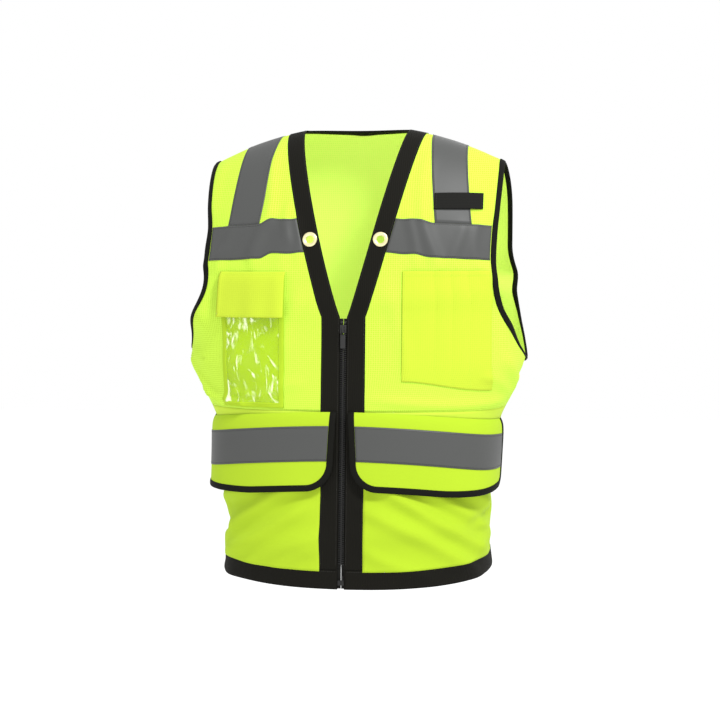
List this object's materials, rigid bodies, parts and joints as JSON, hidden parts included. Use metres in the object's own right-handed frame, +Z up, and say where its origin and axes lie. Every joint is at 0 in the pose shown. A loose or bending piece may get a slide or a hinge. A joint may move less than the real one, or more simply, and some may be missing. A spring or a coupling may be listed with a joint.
{
  "type": "high visibility vest",
  "caption": "Zip-front high visibility vest of mesh and plain cloth with reflective tape, black trim, a clear card pocket, a divided chest pocket and flapped lower pockets.",
  "frame": {"origin": "middle of the line over the shoulders, at the neck", "axes": "+Z up, -Y the way the wearer faces, +X to the wearer's left"},
  "size_m": [0.5102, 0.2966, 0.668],
  "materials": {
    "mesh_cloth": "matte",
    "plain_cloth": "matte",
    "pocket_cloth": "matte",
    "lining_cloth": "matte",
    "reflective_tape": "satin",
    "black_trim": "matte",
    "black_binding": "matte",
    "webbing": "matte",
    "hook_and_loop": "matte",
    "zip_cloth": "matte",
    "zip_plastic": "satin",
    "zip_metal": "satin",
    "clear_window": "gloss",
    "brass": "satin"
  },
  "bodies": {
    "root": {"back_mesh": "mesh_cloth", "back_lower_panel": "plain_cloth", "back_hem_band": "black_trim", "back_chest_tape": "reflective_tape", "back_waist_tape": "reflective_tape", "back_neck_band": "black_trim", "back_shoulder_tape_left": "reflective_tape", "back_armhole_binding_left": "black_binding", "back_shoulder_tape_right": "reflective_tape", "back_armhole_binding_right": "black_binding"},
    "front_left": {"front_mesh_left": "mesh_cloth", "front_trim_left": "black_trim", "pocket_lining_left": "lining_cloth", "lower_panel_left": "plain_cloth", "hem_band_left": "black_trim", "chest_tape_left": "reflective_tape", "shoulder_tape_left": "reflective_tape", "armhole_binding_left": "black_binding", "grommet_left": "brass", "grommet_washer_left": "brass", "zip_teeth_left": "zip_plastic", "zip_tape_left": "zip_cloth", "zip_top_stop_left": "zip_plastic", "pocket_loop_left": "hook_and_loop", "insertion_pin": "zip_plastic", "pencil_pocket": "pocket_cloth", "mic_tab": "webbing"},
    "lower_flap_left": {"flap_panel_left": "plain_cloth", "flap_tape_left": "reflective_tape", "flap_binding_left": "black_binding", "flap_hook_left": "hook_and_loop"},
    "front_right": {"front_mesh_right": "mesh_cloth", "front_trim_right": "black_trim", "pocket_lining_right": "lining_cloth", "lower_panel_right": "plain_cloth", "hem_band_right": "black_trim", "chest_tape_right": "reflective_tape", "shoulder_tape_right": "reflective_tape", "armhole_binding_right": "black_binding", "grommet_right": "brass", "grommet_washer_right": "brass", "zip_teeth_right": "zip_plastic", "zip_tape_right": "zip_cloth", "zip_top_stop_right": "zip_plastic", "pocket_loop_right": "hook_and_loop", "id_backing": "pocket_cloth", "id_window": "clear_window", "zip_retainer_box": "zip_plastic"},
    "lower_flap_right": {"flap_panel_right": "plain_cloth", "flap_tape_right": "reflective_tape", "flap_binding_right": "black_binding", "flap_hook_right": "hook_and_loop"},
    "id_flap": {"id_flap": "pocket_cloth", "id_flap_hook": "hook_and_loop"},
    "zip_slider": {"zip_slider": "zip_metal"},
    "zip_puller": {"zip_puller": "zip_metal"}
  },
  "joints": [
    {"name": "front_right_open", "type": "hinge", "parent": "root", "child": "front_right", "pos_m": [-0.2575, 0, -0.338], "axis": [0.1575, 0, -0.9875], "range_deg": [0, 30]},
    {"name": "front_left_open", "type": "hinge", "parent": "root", "child": "front_left", "pos_m": [0.2575, 0, -0.338], "axis": [0.1575, 0, 0.9875], "range_deg": [0, 30]},
    {"name": "zip_slide", "type": "slide", "parent": "front_right", "child": "zip_slider", "axis": [0, -0.0698, -0.9976], "range_m": [0, 0.35]},
    {"name": "zip_puller_swing", "type": "hinge", "parent": "zip_slider", "child": "zip_puller", "pos_m": [0, -0.1465, -0.29765], "axis": [-1, 0, 0], "range_deg": [0, 165]},
    {"name": "lower_flap_right_lift", "type": "hinge", "parent": "front_right", "child": "lower_flap_right", "pos_m": [-0.16036, -0.11806, -0.4259], "axis": [-0.8283, 0.5551, -0.0762], "range_deg": [0, 120]},
    {"name": "lower_flap_left_lift", "type": "hinge", "parent": "front_left", "child": "lower_flap_left", "pos_m": [0.16036, -0.11806, -0.4259], "axis": [-0.8283, -0.5551, 0.0762], "range_deg": [0, 120]},
    {"name": "id_flap_lift", "type": "hinge", "parent": "front_right", "child": "id_flap", "pos_m": [-0.14076, -0.12387, -0.21665], "axis": [-0.962, 0.2731, -0.0003], "range_deg": [0, 150]}
  ],
  "couplings": [
    {"joint": "front_left_open", "follows": "front_right_open", "ratio": 1},
    {"joint": "zip_slide", "follows": "front_right_open", "m_per_rad": 0.66838}
  ]
}
